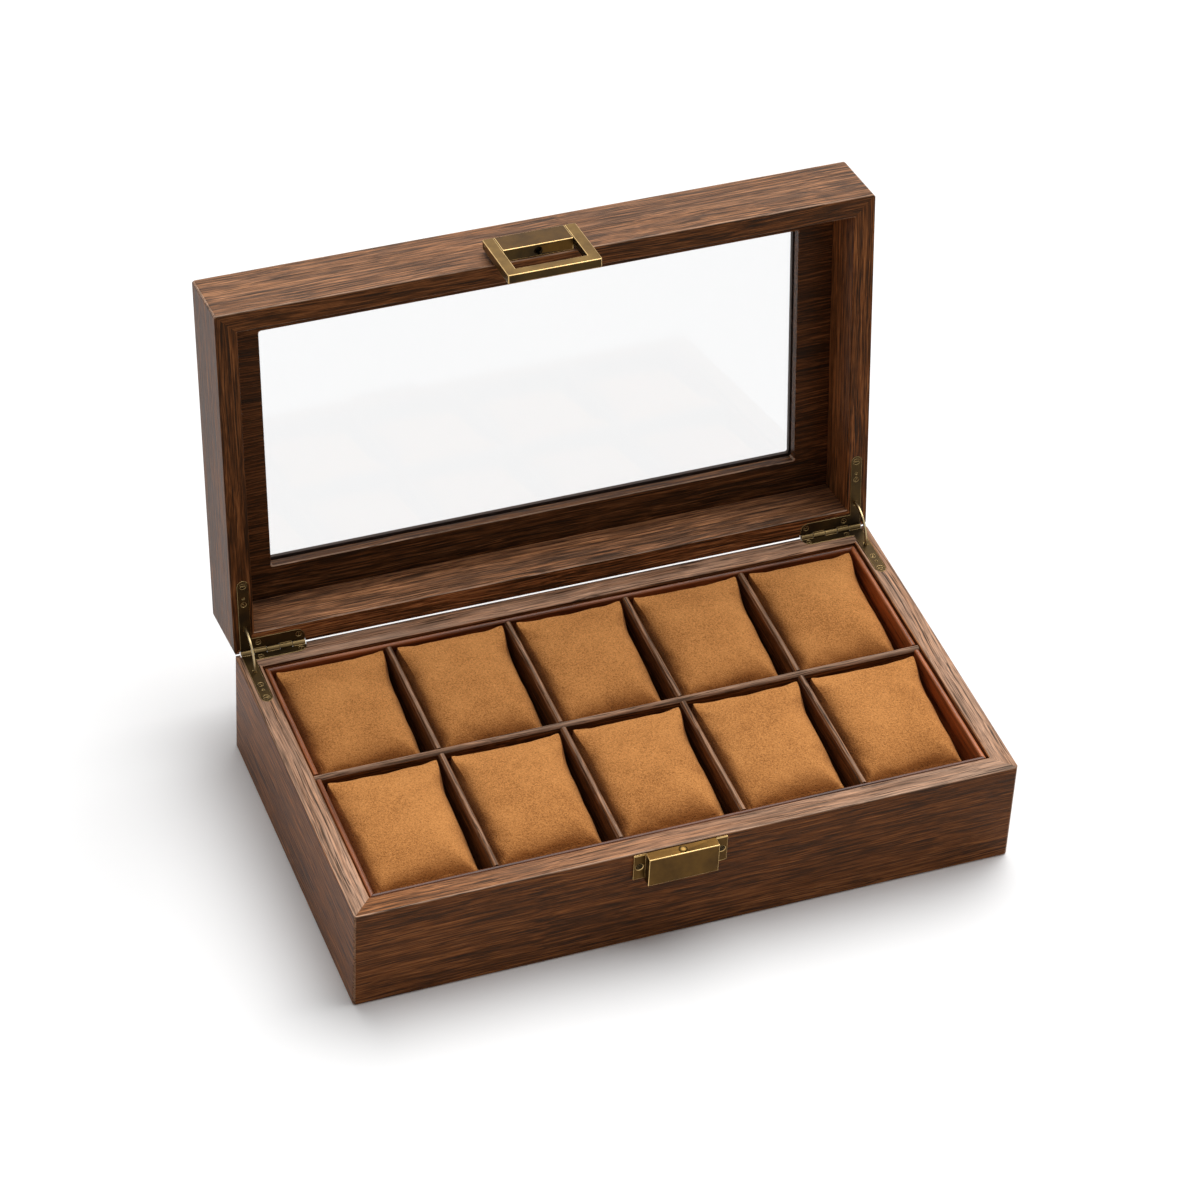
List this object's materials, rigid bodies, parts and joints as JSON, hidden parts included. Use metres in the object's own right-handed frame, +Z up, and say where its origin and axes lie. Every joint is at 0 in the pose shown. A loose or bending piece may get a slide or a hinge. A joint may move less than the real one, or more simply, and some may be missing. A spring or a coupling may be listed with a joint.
{
  "type": "watch display case",
  "caption": "Hinged wooden watch case with a glazed lid standing open, soft lift-out cushions in divided compartments and a bail latch.",
  "frame": {"origin": "centre of the flat underside of the base", "axes": "+X along the length, to the right seen from the front; +Y from the front, where the latch is, to the hinges; +Z up. The lid stands open, as in the picture"},
  "size_m": [0.3, 0.233, 0.2296],
  "materials": {
    "walnut": "satin oiled",
    "liner_wood": "satin",
    "suede": "brushed suede",
    "felt": "matt felt",
    "glass": "clear polished",
    "antique_brass": "brushed antique",
    "dark_brass": "dark antique"
  },
  "bodies": {
    "base": {"base_front_wall": "walnut", "base_back_wall": "walnut", "base_left_wall": "walnut", "base_right_wall": "walnut", "base_floor": "walnut", "base_felt": "felt", "liner_back": "liner_wood", "liner_front": "liner_wood", "liner_left_back": "liner_wood", "liner_left_front": "liner_wood", "liner_right_back": "liner_wood", "liner_right_front": "liner_wood", "long_divider": "walnut", "cross_divider_1": "walnut", "cross_divider_2": "walnut", "cross_divider_3": "walnut", "cross_divider_4": "walnut", "hinge_leaf_base_left": "dark_brass", "hinge_leaf_base_right": "dark_brass", "hinge_pin_left": "dark_brass", "hinge_pin_right": "dark_brass", "hinge_screw_base_left": "dark_brass", "hinge_screw_base_right": "dark_brass", "latch_catch": "antique_brass", "catch_screw_left": "dark_brass", "catch_screw_right": "dark_brass"},
    "lid": {"lid_front_wall": "walnut", "lid_back_wall": "walnut", "lid_left_wall": "walnut", "lid_right_wall": "walnut", "window_panel": "walnut", "glazing_bead_front": "walnut", "glazing_bead_back": "walnut", "glazing_bead_left": "walnut", "glazing_bead_right": "walnut", "glass_pane": "glass", "hinge_leaf_lid_left": "dark_brass", "hinge_leaf_lid_right": "dark_brass", "hinge_screw_lid_left": "dark_brass", "hinge_screw_lid_right": "dark_brass", "latch_block": "antique_brass", "latch_pin": "dark_brass"},
    "stay_left": {"hinge_stay_left": "antique_brass"},
    "stay_right": {"hinge_stay_right": "antique_brass"},
    "bail": {"latch_bail": "antique_brass"},
    "nub": {"latch_nub": "antique_brass"},
    "cushion_back_1": {"cushion_back_1": "suede"},
    "cushion_back_2": {"cushion_back_2": "suede"},
    "cushion_back_3": {"cushion_back_3": "suede"},
    "cushion_back_4": {"cushion_back_4": "suede"},
    "cushion_back_5": {"cushion_back_5": "suede"},
    "cushion_front_1": {"cushion_front_1": "suede"},
    "cushion_front_2": {"cushion_front_2": "suede"},
    "cushion_front_3": {"cushion_front_3": "suede"},
    "cushion_front_4": {"cushion_front_4": "suede"},
    "cushion_front_5": {"cushion_front_5": "suede"}
  },
  "joints": [
    {"name": "lid_hinge", "type": "hinge", "parent": "base", "child": "lid", "pos_m": [0, 0.08525, 0.0522], "axis": [-1, 0, 0], "range_deg": [-98, 0]},
    {"name": "stay_left_hinge", "type": "hinge", "parent": "base", "child": "stay_left", "pos_m": [0, 0.08525, 0.0522], "axis": [-1, 0, 0], "range_deg": [-49, 0]},
    {"name": "stay_right_hinge", "type": "hinge", "parent": "base", "child": "stay_right", "pos_m": [0, 0.08525, 0.0522], "axis": [-1, 0, 0], "range_deg": [-49, 0]},
    {"name": "bail_hinge", "type": "hinge", "parent": "lid", "child": "bail", "pos_m": [-0.006, 0.11939, 0.22326], "axis": [-1, 0, 0], "range_deg": [0, 100]},
    {"name": "nub_slide", "type": "slide", "parent": "base", "child": "nub", "axis": [0, 0, 1], "range_m": [-0.0008, 0], "stiffness_N_per_m": 150, "springref_m": 0.002},
    {"name": "cushion_back_1_lift", "type": "slide", "parent": "base", "child": "cushion_back_1", "axis": [0, 0, 1], "range_m": [0, 0.055]},
    {"name": "cushion_back_2_lift", "type": "slide", "parent": "base", "child": "cushion_back_2", "axis": [0, 0, 1], "range_m": [0, 0.055]},
    {"name": "cushion_back_3_lift", "type": "slide", "parent": "base", "child": "cushion_back_3", "axis": [0, 0, 1], "range_m": [0, 0.055]},
    {"name": "cushion_back_4_lift", "type": "slide", "parent": "base", "child": "cushion_back_4", "axis": [0, 0, 1], "range_m": [0, 0.055]},
    {"name": "cushion_back_5_lift", "type": "slide", "parent": "base", "child": "cushion_back_5", "axis": [0, 0, 1], "range_m": [0, 0.055]},
    {"name": "cushion_front_1_lift", "type": "slide", "parent": "base", "child": "cushion_front_1", "axis": [0, 0, 1], "range_m": [0, 0.055]},
    {"name": "cushion_front_2_lift", "type": "slide", "parent": "base", "child": "cushion_front_2", "axis": [0, 0, 1], "range_m": [0, 0.055]},
    {"name": "cushion_front_3_lift", "type": "slide", "parent": "base", "child": "cushion_front_3", "axis": [0, 0, 1], "range_m": [0, 0.055]},
    {"name": "cushion_front_4_lift", "type": "slide", "parent": "base", "child": "cushion_front_4", "axis": [0, 0, 1], "range_m": [0, 0.055]},
    {"name": "cushion_front_5_lift", "type": "slide", "parent": "base", "child": "cushion_front_5", "axis": [0, 0, 1], "range_m": [0, 0.055]}
  ],
  "couplings": [
    {"joint": "stay_left_hinge", "follows": "lid_hinge", "ratio": 0.5},
    {"joint": "stay_right_hinge", "follows": "lid_hinge", "ratio": 0.5}
  ]
}
